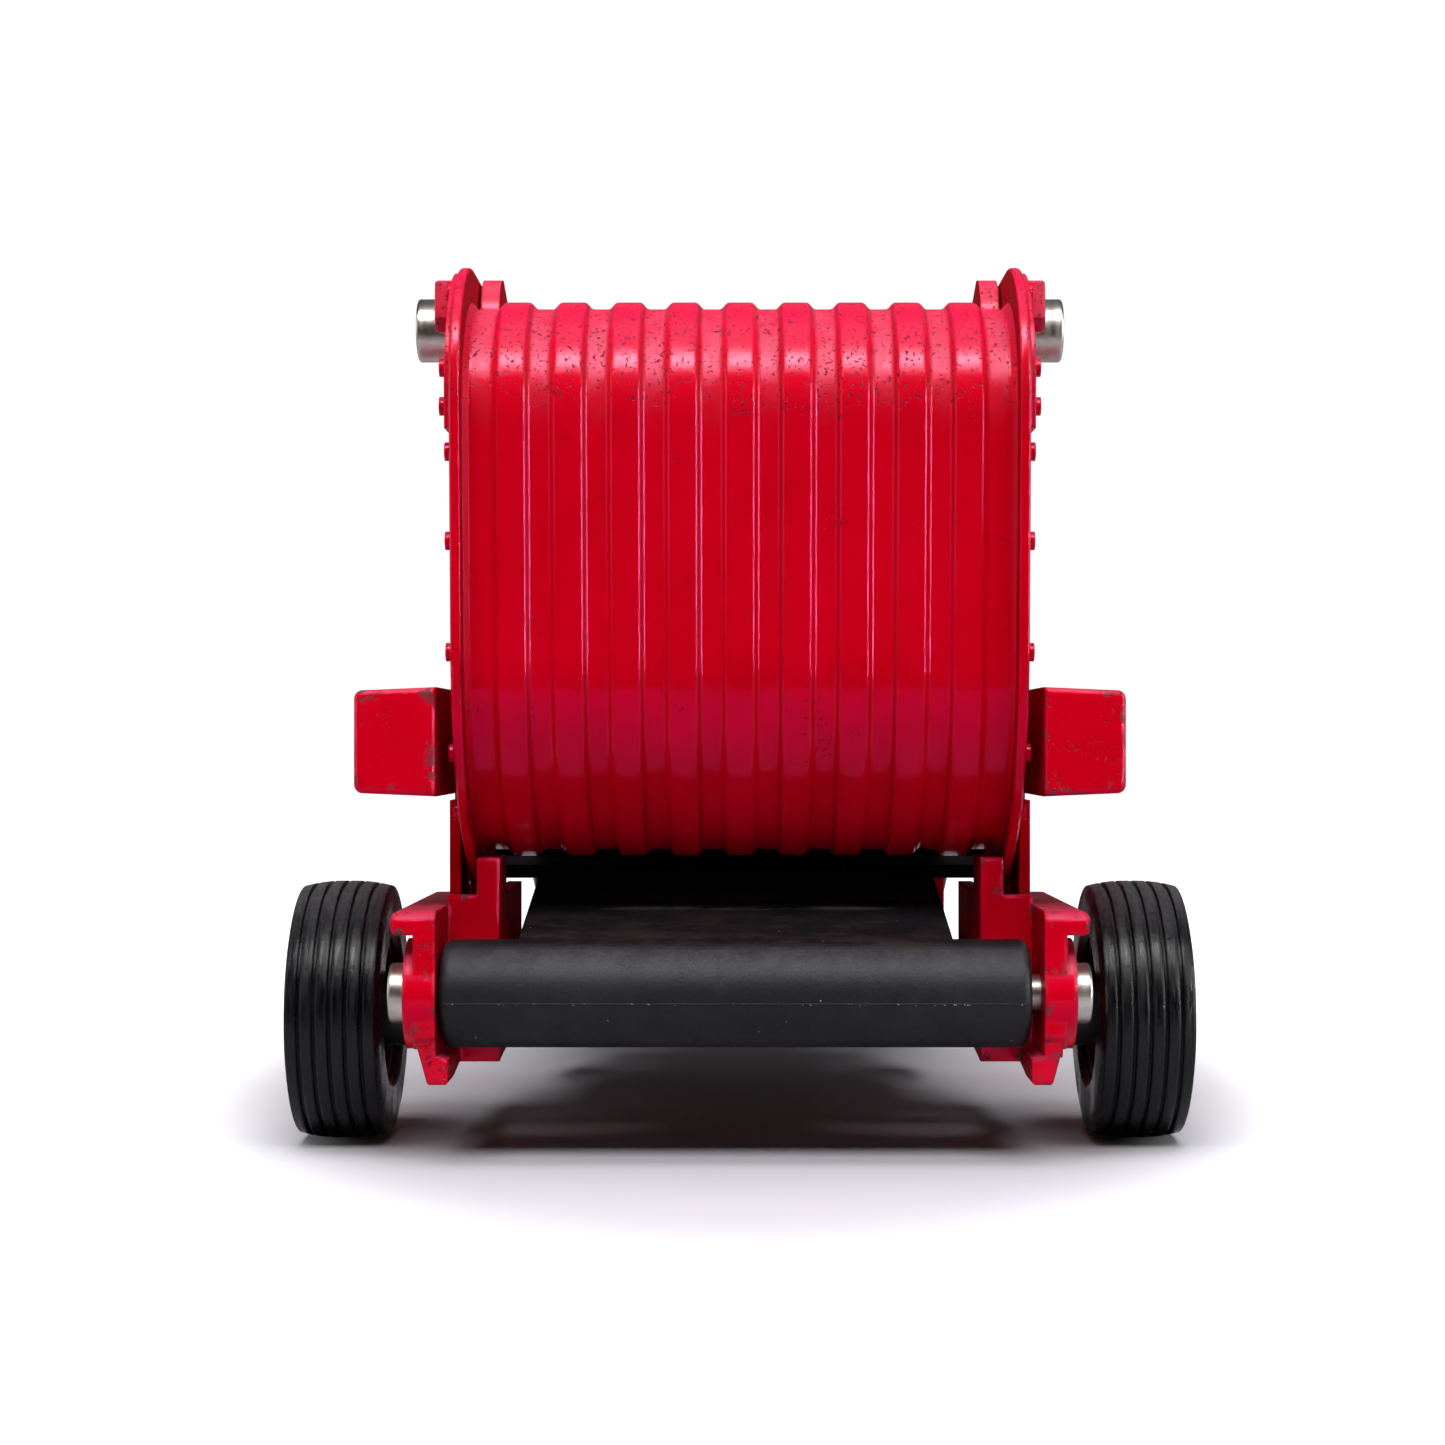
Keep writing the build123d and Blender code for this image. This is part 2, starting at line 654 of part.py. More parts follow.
def make_tyre():
    """Tyre with ribs round the tread, turned about the axle."""
    width = TYRE_OUT - TYRE_IN
    rib = TREAD_RIB
    groove = TREAD_GROOVE
    span = TREAD_RIBS * rib + (TREAD_RIBS - 1) * groove
    first = TYRE_IN + (width - span) / 2
    outline = [(TYRE_IN + 0.5, RIM_R), (TYRE_IN, RIM_R + 0.5)]
    outline += [(TYRE_IN, SHOULDER_R - 0.6), (TYRE_IN + 0.1, SHOULDER_R)]
    for index in range(TREAD_RIBS):
        left = first + index * (rib + groove)
        outline += [(left, tread_radius(left)), (left + rib, tread_radius(left + rib))]
        if index < TREAD_RIBS - 1:
            floor = tread_radius(left + rib + groove / 2) - TREAD_DEPTH
            outline += [(left + rib + 0.08, floor), (left + rib + groove - 0.08, floor)]
    outline += [(TYRE_OUT - 0.1, SHOULDER_R), (TYRE_OUT, SHOULDER_R - 0.6)]
    outline += [(TYRE_OUT, RIM_R + 0.5), (TYRE_OUT - 0.5, RIM_R)]
    with BuildPart() as tyre:
        with BuildSketch(Plane(origin=(0, *AXLE), x_dir=(1, 0, 0), z_dir=(0, -1, 0))):
            with BuildLine():
                Polyline(*outline, close=True)
            make_face()
        revolve(axis=Axis((0, *AXLE), (1, 0, 0)))
    return tyre.part


def make_rim():
    """Moulded rim: barrel, web with round holes, and a hub that reaches in to the arm."""
    outline = [
        (HUB_IN, AXLE_R + FIT),
        (HUB_OUT, AXLE_R + FIT),
        (HUB_OUT, HUB_R - 0.3),
        (HUB_OUT - 0.3, HUB_R),
        (WEB_OUTER, HUB_R),
        (WEB_OUTER, BARREL_R - 0.4),
        (TYRE_OUT - 0.8, BARREL_R),
        (TYRE_OUT - 0.8, RIM_R),
        (TYRE_IN + 0.8, RIM_R),
        (TYRE_IN + 0.8, BARREL_R),
        (WEB_INNER, BARREL_R - 0.4),
        (WEB_INNER, HUB_R),
        (HUB_IN + 0.3, HUB_R),
        (HUB_IN, HUB_R - 0.3),
    ]
    with BuildPart() as rim:
        with BuildSketch(Plane(origin=(0, *AXLE), x_dir=(1, 0, 0), z_dir=(0, -1, 0))):
            with BuildLine():
                Polyline(*outline, close=True)
            make_face()
        revolve(axis=Axis((0, *AXLE), (1, 0, 0)))
        for index in range(6):
            disc(on_circle(AXLE, 4.25, 60 * index), 0.65, WEB_INNER, WEB_OUTER, mode=Mode.SUBTRACT)
    return rim.part


save(make_tyre(), "tyre_right")
save(mirrored(make_tyre()), "tyre_left")
save(make_rim(), "rim_right")
save(mirrored(make_rim()), "rim_left")

with BuildPart() as axle:
    disc(AXLE, AXLE_R, -AXLE_HALF, AXLE_HALF)
save(axle.part, "axle")

with BuildPart() as axle_cap:
    disc(AXLE, CAP_R, CAP_IN, CAP_OUT)
    fillet(axle_cap.faces().sort_by(Axis.X)[-1].edges(), 0.4)
    disc(AXLE, AXLE_R, CAP_IN, AXLE_HALF, mode=Mode.SUBTRACT)
save(axle_cap.part, "axle_cap_right")
save(mirrored(axle_cap.part), "axle_cap_left")


# ---------------------------------------------------------------- press rollers
def make_roller(centre):
    """Press roller with eight raised bars and a journal at each end."""
    with BuildPart() as roller:
        disc(centre, ROLLER_R, -22.9, 22.9)
        with BuildSketch(Plane.YZ.offset(-22.4)):
            with Locations(centre):
                with PolarLocations(ROLLER_R, 8):
                    Rectangle(0.8, 0.9)
        extrude(amount=2 * 22.4)
        disc(centre, JOURNAL_R, -WALL_OUT, WALL_OUT)
    return roller.part


for roller_name, roller_centre in ROLLERS.items():
    save(make_roller(roller_centre), roller_name)


# ---------------------------------------------------------------- pickup
with BuildPart() as pickup_side:
    with BuildSketch(Plane.YZ.offset(PICKUP_HALF - PICKUP_SIDE)):
        with Locations(REEL_AXIS):
            Circle(6.2)
        with BuildLine():
            Polyline((FRONT_Y, 37.0), (-10.5, 37.0), (-2.3, 14.5), (-13.9, 10.0), (FRONT_Y, 24.0), close=True)
        make_face()
    extrude(amount=PICKUP_SIDE)
    disc(REEL_AXIS, JOURNAL_R, 0, 30, mode=Mode.SUBTRACT)
save(pickup_side.part, "pickup_side_right")
save(mirrored(pickup_side.part), "pickup_side_left")

hood_slope = (HOOD_FRONT[1] - HOOD_REAR[1]) / (HOOD_FRONT[0] - HOOD_REAR[0])
with BuildPart() as pickup_hood:
    slab(
        [
            HOOD_REAR,
            HOOD_FRONT,
            (HOOD_FRONT[0], HOOD_FRONT[1] - HOOD),
            (HOOD_REAR[0], HOOD_REAR[1] - HOOD),
        ],
        PICKUP_SIDE - PICKUP_HALF,
        PICKUP_HALF - PICKUP_SIDE,
    )
    step_z = HOOD_REAR[1] + hood_slope * (HOOD_STEP - HOOD_REAR[0])
    slab(
        [
            (HOOD_STEP, step_z),
            HOOD_FRONT,
            (HOOD_FRONT[0], HOOD_FRONT[1] - HOOD_LIP),
            (HOOD_FRONT[0] - HOOD, HOOD_FRONT[1] - HOOD_LIP),
            (HOOD_FRONT[0] - HOOD, HOOD_FRONT[1] - HOOD * (1 + hood_slope)),
            (HOOD_STEP, step_z - HOOD),
        ],
        -HOOD_HALF,
        HOOD_HALF,
    )
save(pickup_hood.part, "pickup_hood")

with BuildPart() as pickup_shaft:
    disc(REEL_AXIS, JOURNAL_R, -PICKUP_HALF, PICKUP_HALF)
save(pickup_shaft.part, "pickup_shaft")

with BuildPart() as pickup_reel:
    disc(REEL_AXIS, 3.2, -18.7, 18.7)
    for row in range(9):
        x_mid = (row - 4) * 4.3
        with BuildSketch(Plane.YZ.offset(x_mid - 0.4)):
            with Locations(REEL_AXIS):
                with PolarLocations(5.3, 5, start_angle=18):
                    Polygon((-2.6, -0.8), (2.3, -0.35), (2.3, 0.35), (-2.6, 0.8), align=None)
        extrude(amount=0.8)
    disc(REEL_AXIS, JOURNAL_R + FIT, -30, 30, mode=Mode.SUBTRACT)
save(pickup_reel.part, "pickup_reel")


# ---------------------------------------------------------------- drawbar, hitch eye and stand
with BuildPart() as drawbar:
    slab(
        [(-12.5, 30.4), (24.0, 13.4), (56.0, 12.8), (56.0, 16.8), (25.0, 18.2), (-12.5, 37.0)],
        -BAR_HALF,
        BAR_HALF,
    )
    with Locations((0, (FRONT_Y - 12.4) / 2, 34.0)):
        Box(18, -12.4 - FRONT_Y, 8.4)
    disc(STAND_AXIS, STAND_PIN_R, -BAR_HALF, BAR_HALF, mode=Mode.SUBTRACT)
save(drawbar.part, "drawbar")

with BuildPart() as hitch_eye:
    with BuildSketch(Plane.XY.offset(HITCH_Z)):
        with Locations((0, EYE_Y)):
            Circle(HITCH_R)
        with Locations((0, 58.0)):
            Rectangle(3.6, 4.0)
        with Locations((0, EYE_Y)):
            Circle(HITCH_BORE, mode=Mode.SUBTRACT)
    extrude(amount=HITCH_THICK)
save(hitch_eye.part, "hitch_eye")

with BuildPart() as stand_leg:
    with BuildSketch(Plane.YZ.offset(BAR_HALF + 0.3)):
        with Locations(STAND_AXIS):
            Circle(2.4)
        with BuildLine():
            Polyline((37.9, 15.0), (42.1, 15.0), (42.4, 0.6), (38.8, 0.6), close=True)
        make_face()
    extrude(amount=1.8)
    with Locations((BAR_HALF + 0.3 + 3.2, 40.8, 0.6)):
        Box(6.4, 8.0, 1.2)
    disc(STAND_AXIS, STAND_PIN_R + FIT, 0, 10, mode=Mode.SUBTRACT)
save(stand_leg.part, "stand_leg")

with BuildPart() as stand_pin:
    disc(STAND_AXIS, STAND_PIN_R, -BAR_HALF, 4.6)
    disc(STAND_AXIS, 1.6, 4.6, 5.3)
    disc(STAND_AXIS, 1.6, -BAR_HALF - 0.7, -BAR_HALF)
save(stand_pin.part, "stand_pin")


# ---------------------------------------------------------------- gearbox and drive shaft
with BuildPart() as gearbox:
    with Locations((0, -9.0, PTO_Z)):
        Box(10, 10, 8.8)
    fillet(gearbox.edges().filter_by(Axis.Y), 1.2)
    with BuildSketch(Plane.XZ.offset(4.0)):
        with Locations((0, PTO_Z)):
            Circle(3.0)
    extrude(amount=-1.6)
    with BuildSketch(Plane.XZ.offset(10.0)):
        with Locations((0, PTO_Z)):
            Circle(PTO_R + FIT)
    extrude(amount=-10, mode=Mode.SUBTRACT)
save(gearbox.part, "gearbox")

with BuildPart() as pto_shaft:
    with BuildSketch(Plane.XZ.offset(9.8)):
        with Locations((0, PTO_Z)):
            Circle(PTO_R)
    extrude(amount=-14)
    with BuildSketch(Plane.XZ.offset(-2.0)):
        with Locations((0, PTO_Z)):
            RegularPolygon(2.3, 6)
    extrude(amount=-5)
save(pto_shaft.part, "pto_shaft")
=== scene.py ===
"""Looks for the toy round baler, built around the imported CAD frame. Units are metres."""
import json
import math

import bpy
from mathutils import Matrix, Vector


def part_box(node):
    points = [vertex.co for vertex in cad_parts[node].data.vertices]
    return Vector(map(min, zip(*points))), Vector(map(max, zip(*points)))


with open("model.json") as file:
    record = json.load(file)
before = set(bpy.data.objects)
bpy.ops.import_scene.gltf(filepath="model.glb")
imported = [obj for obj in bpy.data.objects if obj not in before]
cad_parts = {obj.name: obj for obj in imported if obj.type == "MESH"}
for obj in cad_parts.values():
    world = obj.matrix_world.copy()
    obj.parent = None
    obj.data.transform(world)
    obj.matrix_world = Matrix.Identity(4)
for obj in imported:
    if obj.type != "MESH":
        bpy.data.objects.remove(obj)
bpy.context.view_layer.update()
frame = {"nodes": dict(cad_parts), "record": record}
NODES = frame["nodes"]
MM = 0.001

# places on the toy that a look follows; one rib of the drum is at X = 0
RIB_PITCH = 4.59 * MM          # spacing of the ribs on the drum
RIB_DUST_AND_SHEEN_FROM = 1.3 * MM       # beyond this distance from a rib's middle the dust and painted sheen set in
RIB_DUST_AND_SHEEN_FULL = 1.6 * MM       # and beyond this one it is full
DUST_AND_SHEEN_FROM = 58 * MM            # above this height the drum gets dust and painted sheen
DUST_AND_SHEEN_FULL = 65 * MM
PITS_FROM = 59 * MM            # above this height, about where its wall turns over, it pits more
PITS_FULL = 62.5 * MM
SEAM_HEIGHT = 13.1 * MM        # mould parting line along the back of the ramp tube
SCUFF_HEIGHT = 19.9 * MM       # rubbed line across the ramp plate


# ---------------------------------------------------------------- node helpers
class Shader:
    """A node material with short names for the nodes that the looks below share."""

    def __init__(self, name):
        self.material = bpy.data.materials.new(name)
        self.material.use_nodes = True
        self.nodes = self.material.node_tree.nodes
        self.links = self.material.node_tree.links
        self.nodes.clear()
        self.surface = self.nodes.new("ShaderNodeBsdfPrincipled")
        output = self.nodes.new("ShaderNodeOutputMaterial")
        self.links.new(self.surface.outputs[0], output.inputs["Surface"])
        self.place = self.nodes.new("ShaderNodeTexCoord").outputs["Object"]
        geometry = self.nodes.new("ShaderNodeNewGeometry")
        self.normal = geometry.outputs["True Normal"]
        self.split_normal = self.parts(self.normal)
        self.split_place = self.parts(self.place)

    def plug(self, value, socket):
        if hasattr(value, "is_output"):
            self.links.new(value, socket)
        else:
            socket.default_value = value

    def parts(self, vector):
        node = self.nodes.new("ShaderNodeSeparateXYZ")
        self.links.new(vector, node.inputs[0])
        return node.outputs

    def set(self, **values):
        for key, value in values.items():
            self.plug(value, self.surface.inputs[key.replace("_", " ")])

    def math(self, operation, a, b=0.0):
        node = self.nodes.new("ShaderNodeMath")
        node.operation = operation
        self.plug(a, node.inputs[0])
        self.plug(b, node.inputs[1])
        return node.outputs[0]

    def times(self, product, *others):
        for other in others:
            product = self.math("MULTIPLY", product, other)
        return product

    def plus(self, total, *others):
        for other in others:
            total = self.math("ADD", total, other)
        return total

    def ramp(self, value, low, high, out_low=0.0, out_high=1.0):
        """Smooth step from low to high."""
        node = self.nodes.new("ShaderNodeMapRange")
        node.interpolation_type = "SMOOTHSTEP"
        self.plug(value, node.inputs["Value"])
        node.inputs["From Min"].default_value = low
        node.inputs["From Max"].default_value = high
        node.inputs["To Min"].default_value = out_low
        node.inputs["To Max"].default_value = out_high
        return node.outputs["Result"]

    def stripe(self, value, middle, core, edge):
        """1 within core of the middle value, fading to 0 at edge."""
        distance = self.math("ABSOLUTE", self.math("SUBTRACT", value, middle))
        return self.ramp(distance, core, edge, 1.0, 0.0)

    def stretch(self, scale):
        node = self.nodes.new("ShaderNodeMapping")
        self.links.new(self.place, node.inputs["Vector"])
        node.inputs["Scale"].default_value = scale
        return node.outputs["Vector"]

    def noise(self, size, detail=3.0, rough=0.55, vector=None):
        """Noise whose blobs are about size metres across."""
        node = self.nodes.new("ShaderNodeTexNoise")
        node.inputs["Scale"].default_value = 1.0 / size
        node.inputs["Detail"].default_value = detail
        node.inputs["Roughness"].default_value = rough
        self.links.new(vector or self.place, node.inputs["Vector"])
        return node.outputs["Fac"]

    def cells(self, size):
        """Distance to the nearest of points about size metres apart, where 1 is size metres."""
        node = self.nodes.new("ShaderNodeTexVoronoi")
        node.inputs["Scale"].default_value = 1.0 / size
        self.links.new(self.place, node.inputs["Vector"])
        return node.outputs["Distance"]

    def mix(self, factor, a, b):
        node = self.nodes.new("ShaderNodeMix")
        node.data_type = "RGBA"
        self.plug(factor, node.inputs[0])
        self.plug(a, node.inputs[6])
        self.plug(b, node.inputs[7])
        return node.outputs[2]

    def round_edges(self, radius):
        node = self.nodes.new("ShaderNodeBevel")
        node.samples = 6
        node.inputs["Radius"].default_value = radius
        return node.outputs[0]

    def edge_mask(self, radius):
        """Above 0 near an edge, from how far the rounded normal leans off the flat one."""
        node = self.nodes.new("ShaderNodeVectorMath")
        node.operation = "DOT_PRODUCT"
        self.links.new(self.round_edges(radius), node.inputs[0])
        self.links.new(self.normal, node.inputs[1])
        return self.math("SUBTRACT", 1.0, node.outputs["Value"])

    def bump(self, height, distance, edge_radius):
        """Relief laid over edges that are rounded by edge_radius."""
        node = self.nodes.new("ShaderNodeBump")
        node.inputs["Distance"].default_value = distance
        self.plug(height, node.inputs["Height"])
        self.links.new(self.round_edges(edge_radius), node.inputs["Normal"])
        return node.outputs[0]


def rgb(red, green, blue):
    """An opaque colour."""
    return (red, green, blue, 1.0)


WHITE = rgb(1.0, 1.0, 1.0)


# ---------------------------------------------------------------- red enamel
ENAMEL = rgb(0.70, 0.0004, 0.014)
ENAMEL_DEEP = rgb(0.61, 0.0002, 0.009)
# painted light for faces that point up
ENAMEL_PAINTED_TOP_LIGHT = rgb(0.58, 0.0005, 0.038)
# painted shade for faces turned to the middle of the toy
ENAMEL_PAINTED_SHADE = rgb(0.10, 0.002, 0.004)
PINK_DUST_AND_SHEEN = rgb(0.34, 0.055, 0.095)
PIT = rgb(0.06, 0.004, 0.008)
BARE_ZINC = rgb(0.045, 0.04, 0.04)


def top_dust_and_sheen(s):
    """Grey-pink film of dust and painted sheen on what faces up."""
    up = s.ramp(s.split_normal[2], 0.2, 0.9)
    return s.times(up, s.ramp(s.noise(3.2 * MM, 6.0, 0.65), 0.25, 0.8, 0.3, 1.0))


def groove_dust_and_sheen(s):
    """The drum's dust and painted sheen: it lies in the grooves of its upper part, with a trace on the
    ribs.
    """
    across = s.math("PINGPONG", s.split_place[0], RIB_PITCH / 2)
    groove = s.ramp(across, RIB_DUST_AND_SHEEN_FROM, RIB_DUST_AND_SHEEN_FULL, 0.12, 1.0)
    high = s.ramp(s.split_place[2], DUST_AND_SHEEN_FROM, DUST_AND_SHEEN_FULL)
    mottled = s.ramp(s.noise(2.0 * MM, 6.0, 0.7), 0.3, 0.75, 0.25, 1.0)
    return s.times(groove, high, mottled)


def inward_faces(s):
    """1 on faces turned to the middle of the toy."""
    side = s.math("SIGN", s.split_place[0])
    return s.ramp(s.times(s.split_normal[0], side, -1.0), 0.6, 0.9)


def pit_clusters(s, ribbed):
    """Small dark pits in clusters. On the drum the crown has the most of them."""
    level = 0.56
    if ribbed:
        level = s.math("SUBTRACT", 0.64, s.ramp(s.split_place[2], PITS_FROM, PITS_FULL, 0.0, 0.3))
    cluster = s.ramp(s.math("SUBTRACT", s.noise(4.5 * MM, 2.0), level), 0.0, 0.06)
    return s.times(s.ramp(s.noise(0.32 * MM, 2.0, 0.6), 0.60, 0.66), cluster)


def red_enamel(name, chips, ribbed=False, round_radius=0.28 * MM, chip_reach=0.45 * MM):
    """Gloss enamel on a zinc casting: dust and painted sheen on top, pitted, with chips along its edges.

    chips is the noise level above which an edge is bare, so a lower number wears more of it.
    chip_reach sets how far from an edge the chips spread.
    """
    s = Shader(name)
    facing_up = s.split_normal[2]
    clouds = s.noise(9 * MM, 4.0)
    color = s.mix(s.ramp(clouds, 0.3, 0.75), ENAMEL, ENAMEL_DEEP)
    # painted light: faces that point up get a bluer crimson, standing in for the light from above on them
    color = s.mix(s.ramp(facing_up, 0.1, 0.7), color, ENAMEL_PAINTED_TOP_LIGHT)
    film = groove_dust_and_sheen(s) if ribbed else top_dust_and_sheen(s)
    # dust and painted sheen: the film lightens the colour towards grey-pink
    color = s.mix(s.times(film, 0.5), color, PINK_DUST_AND_SHEEN)
    # painted shade: faces turned to the middle of the toy are darkened, and they get less specular and
    # more roughness
    inward = inward_faces(s)
    color = s.mix(s.times(inward, 0.6), color, ENAMEL_PAINTED_SHADE)
    pits = pit_clusters(s, ribbed)
    color = s.mix(s.times(pits, 0.85), color, PIT)
    # chips through to dark zinc
    patches = s.ramp(s.noise(1.5 * MM, 5.0, 0.65), chips, chips + 0.03)
    worn = s.times(s.ramp(s.edge_mask(chip_reach), 0.006, 0.03), patches)
    color = s.mix(worn, color, BARE_ZINC)
    damage = s.plus(worn, pits)

    gloss = s.plus(s.times(film, 0.38), s.ramp(clouds, 0.3, 0.7, 0.09, 0.15))
    gloss = s.plus(gloss, s.ramp(facing_up, 0.1, 0.5, 0.0, 0.09))
    # the belly of the castings has the least polish, so it mirrors less of the white card
    polish = s.ramp(facing_up, -0.3, 0.5)
    s.set(
        Base_Color=color,
        Roughness=s.plus(gloss, s.times(s.math("MAXIMUM", damage, inward), 0.4)),
        Specular_IOR_Level=s.math("SUBTRACT", 0.5, s.times(inward, 0.46)),
        Specular_Tint=s.mix(polish, rgb(1.0, 0.05, 0.45), rgb(1.0, 0.42, 0.58)),
    )
    peel = s.times(s.noise(1.3 * MM, 2.0), 0.35)
    pimples = s.ramp(s.cells(4.2 * MM), 0.03, 0.1, 0.5, 0.0)
    relief = s.plus(peel, pimples, s.times(damage, -1.0))
    s.set(Normal=s.bump(relief, 0.05 * MM, round_radius))
    return s.material


# ---------------------------------------------------------------- bare metal
def nickel():
    """Turned, nickel-plated pins with a warm, slightly dull film."""
    s = Shader("nickel_plate")
    rings = s.noise(0.5 * MM, 2.0, vector=s.stretch((1.0, 0.08, 0.08)))
    stain = s.noise(1.6 * MM, 4.0)
    color = s.mix(s.ramp(stain, 0.4, 0.8), rgb(0.52, 0.48, 0.45), rgb(0.34, 0.29, 0.265))
    s.set(Base_Color=color, Metallic=1.0, Roughness=s.ramp(rings, 0.2, 0.8, 0.28, 0.42))
    s.set(Normal=s.bump(rings, 0.006 * MM, 0.2 * MM))
    return s.material


def drawn_steel():
    """Grey drawn steel with a fine grain."""
    s = Shader("drawn_steel")
    grain = s.noise(0.3 * MM, 3.0)
    color = s.mix(s.ramp(grain, 0.3, 0.7), rgb(0.45, 0.44, 0.43), rgb(0.30, 0.29, 0.28))
    s.set(Base_Color=color, Metallic=1.0, Roughness=s.ramp(grain, 0.3, 0.7, 0.28, 0.45))
    s.set(Normal=s.bump(grain, 0.01 * MM, 0.15 * MM))
    return s.material


# ---------------------------------------------------------------- plastics and rubber
def black_moulding():
    """Matte black ramp: grey sheen on its tube, brown dust and a scuff on its plate."""
    s = Shader("black_moulding")
    facing_up = s.split_normal[2]
    grain = s.noise(0.35 * MM, 4.0, 0.7)
    blotch = s.noise(6 * MM, 5.0, 0.6)
    color = s.mix(s.ramp(blotch, 0.35, 0.7), rgb(0.006, 0.0065, 0.009), rgb(0.012, 0.0125, 0.016))
    # the flat plate: near black, with dust towards the tube
    flat = s.ramp(facing_up, 0.8, 0.97)
    color = s.mix(flat, color, rgb(0.0035, 0.0033, 0.005))
    streaks = s.noise(2.4 * MM, 6.0, 0.7, s.stretch((0.45, 1.0, 1.0)))
    low = s.ramp(s.split_place[2], 17 * MM, 23 * MM, 1.0, 0.1)
    dust = s.times(flat, low, s.ramp(streaks, 0.42, 0.66))
    color = s.mix(s.times(dust, 0.65), color, rgb(0.030, 0.020, 0.016))
    scuff = s.times(
        s.stripe(s.split_place[2], SCUFF_HEIGHT, 0.05 * MM, 0.16 * MM),
        flat,
        s.stripe(s.split_place[0], 0.0, 11 * MM, 14 * MM),
        s.ramp(streaks, 0.4, 0.6),
    )
    color = s.mix(s.times(scuff, 0.5), color, rgb(0.13, 0.12, 0.13))
    specks = s.ramp(s.cells(2.6 * MM), 0.018, 0.035, 1.0, 0.0)
    color = s.mix(s.times(specks, 0.55), color, rgb(0.45, 0.45, 0.45))
    # painted sheen: grey on the upper side of the tube, where the light from above falls
    painted_sheen = s.times(s.ramp(facing_up, 0.15, 0.75), s.ramp(grain, 0.3, 0.7, 0.35, 1.0))
    painted_sheen = s.times(painted_sheen, s.math("SUBTRACT", 1.0, s.times(flat, 0.85)))
    painted_sheen = s.times(painted_sheen, s.ramp(s.noise(2.2 * MM, 6.0, 0.75), 0.35, 0.65, 0.45, 1.0))
    color = s.mix(s.times(painted_sheen, 0.75), color, rgb(0.060, 0.059, 0.069))
    # parting line of the mould along the back of the tube, with a little white flash left on it
    behind = s.ramp(s.split_normal[1], -0.9, -0.8, 1.0, 0.0)
    seam = s.times(s.stripe(s.split_place[2], SEAM_HEIGHT, 0.05 * MM, 0.11 * MM), behind)
    flash = s.times(seam, s.ramp(s.noise(0.5 * MM, 3.0, 0.8), 0.62, 0.68))
    color = s.mix(flash, color, rgb(0.5, 0.5, 0.5))
    s.set(
        Base_Color=color,
        Roughness=s.ramp(grain, 0.25, 0.75, 0.45, 0.62),
        Specular_IOR_Level=s.math("SUBTRACT", 0.22, s.times(flat, 0.12)),
    )
    s.set(Normal=s.bump(s.plus(grain, s.times(seam, 1.5)), 0.03 * MM, 0.25 * MM))
    return s.material


def tyre_rubber():
    """Satin black rubber with scuffs that run round the tread, with dust and a painted sheen on top."""
    s = Shader("tyre_rubber")
    fine = s.noise(0.6 * MM, 5.0, 0.7)
    rings = s.noise(1.0 * MM, 4.0, 0.6, s.stretch((2.2, 0.25, 0.25)))
    scuff = s.times(s.ramp(rings, 0.52, 0.72), s.ramp(fine, 0.4, 0.7))
    color = s.mix(s.times(scuff, 0.5), rgb(0.002, 0.002, 0.0035), rgb(0.026, 0.025, 0.032))
    # dust and painted sheen: faces that point up are lightened to grey
    dust_and_sheen = s.times(s.ramp(s.split_normal[2], 0.55, 1.0), s.ramp(fine, 0.3, 0.7, 0.5, 1.0))
    color = s.mix(s.times(dust_and_sheen, 0.6), color, rgb(0.11, 0.108, 0.115))
    s.set(Base_Color=color, Roughness=s.ramp(rings, 0.35, 0.65, 0.2, 0.45), Specular_IOR_Level=0.24)
    relief = s.plus(s.times(rings, 0.7), s.times(fine, 0.5))
    s.set(Normal=s.bump(relief, 0.08 * MM, 0.4 * MM))
    return s.material


def plain_plastic(name, dark, light, roughness):
    """Moulded plastic that varies between a dark and a light shade."""
    s = Shader(name)
    grain = s.noise(0.5 * MM, 4.0, 0.65)
    cloud = s.noise(5 * MM, 3.0)
    color = s.mix(s.ramp(cloud, 0.35, 0.7), rgb(*dark), rgb(*light))
    s.set(Base_Color=color, Roughness=s.ramp(grain, 0.3, 0.7, roughness, roughness + 0.15))
    s.set(Normal=s.bump(grain, 0.015 * MM, 0.15 * MM))
    return s.material


# ---------------------------------------------------------------- which node gets which look
LOOKS = {
    "red_enamel": red_enamel("red_enamel", chips=0.68),
    "red_enamel_ribbed": red_enamel("red_enamel_ribbed", chips=0.78, ribbed=True, round_radius=0.3 * MM),
    "red_enamel_worn": red_enamel(
        "red_enamel_worn", chips=0.585, round_radius=0.7 * MM, chip_reach=1.6 * MM
    ),
    "nickel_plate": nickel(),
    "bright_steel": drawn_steel(),
    "black_moulding": black_moulding(),
    "tyre_rubber": tyre_rubber(),
    "rim_plastic": plain_plastic("rim_plastic", (0.012, 0.012, 0.013), (0.022, 0.022, 0.024), 0.3),
    "dark_grey_plastic": plain_plastic("dark_grey_plastic", (0.04, 0.04, 0.043), (0.07, 0.07, 0.075), 0.4),
}
SPECIAL_LOOKS = {
    "tailgate": "red_enamel_ribbed",
    "side_box_left": "red_enamel_worn",
    "side_box_right": "red_enamel_worn",
    "arm_left": "red_enamel_worn",
    "arm_right": "red_enamel_worn",
}


def dress_nodes():
    """Give every CAD node its special look, or else the look of its material slot."""
    slots = {entry["node"]: entry["material_slot"] for entry in frame["record"]["subparts"]}
    for name, node in NODES.items():
        look = SPECIAL_LOOKS.get(name, slots[name])
        node.data.materials.clear()
        node.data.materials.append(LOOKS[look])


